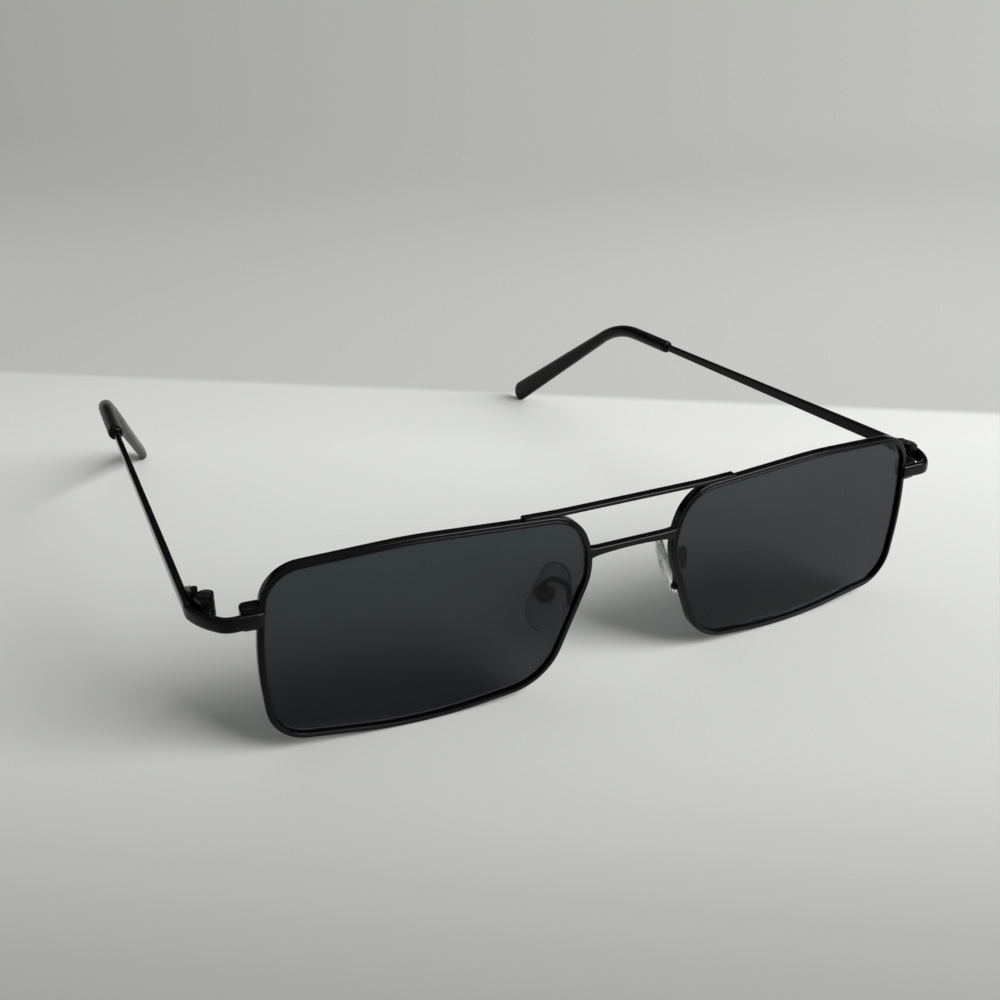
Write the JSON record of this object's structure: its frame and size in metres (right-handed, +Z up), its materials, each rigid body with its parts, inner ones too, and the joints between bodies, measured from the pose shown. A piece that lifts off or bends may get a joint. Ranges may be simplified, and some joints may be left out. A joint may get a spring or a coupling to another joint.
{
  "type": "sunglasses",
  "caption": "Slim rectangular metal sunglasses with a flat brow bar over a lower bridge, dark flat lenses, adjustable nose pads and folding temples with curved tips.",
  "frame": {"origin": "on the ground plane that the rims and the temple tips stand on, in the mirror plane, halfway along the whole length of the opened glasses", "axes": "+Z up, the front with its lenses faces -Y, the open temples run back along +Y, +X towards the wearer's left"},
  "size_m": [0.1472, 0.1548, 0.0353],
  "materials": {
    "frame_lacquer": "gloss black lacquer on nickel-silver wire and sheet",
    "hinge_lacquer": "gloss black lacquer, worn slightly at the edges",
    "screw_steel": "darkened steel",
    "lens_tint": "polished smoke grey lens, slightly lighter at the top",
    "tip_plastic": "polished black moulded tip",
    "pad_core": "clear stiff core",
    "pad_silicone": "clear soft silicone"
  },
  "bodies": {
    "front": {"rim_left": "frame_lacquer", "rim_right": "frame_lacquer", "lens_left": "lens_tint", "lens_right": "lens_tint", "brow_bar": "frame_lacquer", "lower_bridge": "frame_lacquer", "end_piece_left": "frame_lacquer", "end_piece_right": "frame_lacquer", "lock_top_left": "frame_lacquer", "lock_top_right": "frame_lacquer", "lock_base_left": "frame_lacquer", "lock_base_right": "frame_lacquer", "lock_screw_left": "screw_steel", "lock_screw_right": "screw_steel", "front_hinge_left": "hinge_lacquer", "front_hinge_right": "hinge_lacquer", "hinge_screw_left": "screw_steel", "hinge_screw_right": "screw_steel", "pad_arm_left": "hinge_lacquer", "pad_arm_right": "hinge_lacquer", "pad_box_left": "hinge_lacquer", "pad_box_right": "hinge_lacquer", "pad_screw_left": "screw_steel", "pad_screw_right": "screw_steel"},
    "temple_left": {"temple_hinge_left": "hinge_lacquer", "temple_arm_left": "frame_lacquer", "temple_tip_left": "tip_plastic"},
    "temple_right": {"temple_hinge_right": "hinge_lacquer", "temple_arm_right": "frame_lacquer", "temple_tip_right": "tip_plastic"},
    "nose_pad_left": {"pad_core_left": "pad_core", "nose_pad_left": "pad_silicone"},
    "nose_pad_right": {"pad_core_right": "pad_core", "nose_pad_right": "pad_silicone"}
  },
  "joints": [
    {"name": "temple_fold_left", "type": "hinge", "parent": "front", "child": "temple_left", "pos_m": [0.07028, -0.06626, 0.0269], "axis": [0, 0, 1], "range_deg": [0, 84]},
    {"name": "temple_fold_right", "type": "hinge", "parent": "front", "child": "temple_right", "pos_m": [-0.07028, -0.06626, 0.0269], "axis": [0, 0, -1], "range_deg": [0, 81]},
    {"name": "pad_rock_left", "type": "hinge", "parent": "front", "child": "nose_pad_left", "pos_m": [0.01358, -0.0701, 0.01719], "axis": [0.4065, 0.8988, 0.1642], "range_deg": [-8, 8]},
    {"name": "pad_rock_right", "type": "hinge", "parent": "front", "child": "nose_pad_right", "pos_m": [-0.01358, -0.0701, 0.01719], "axis": [0.4065, -0.8988, -0.1642], "range_deg": [-8, 8]}
  ]
}
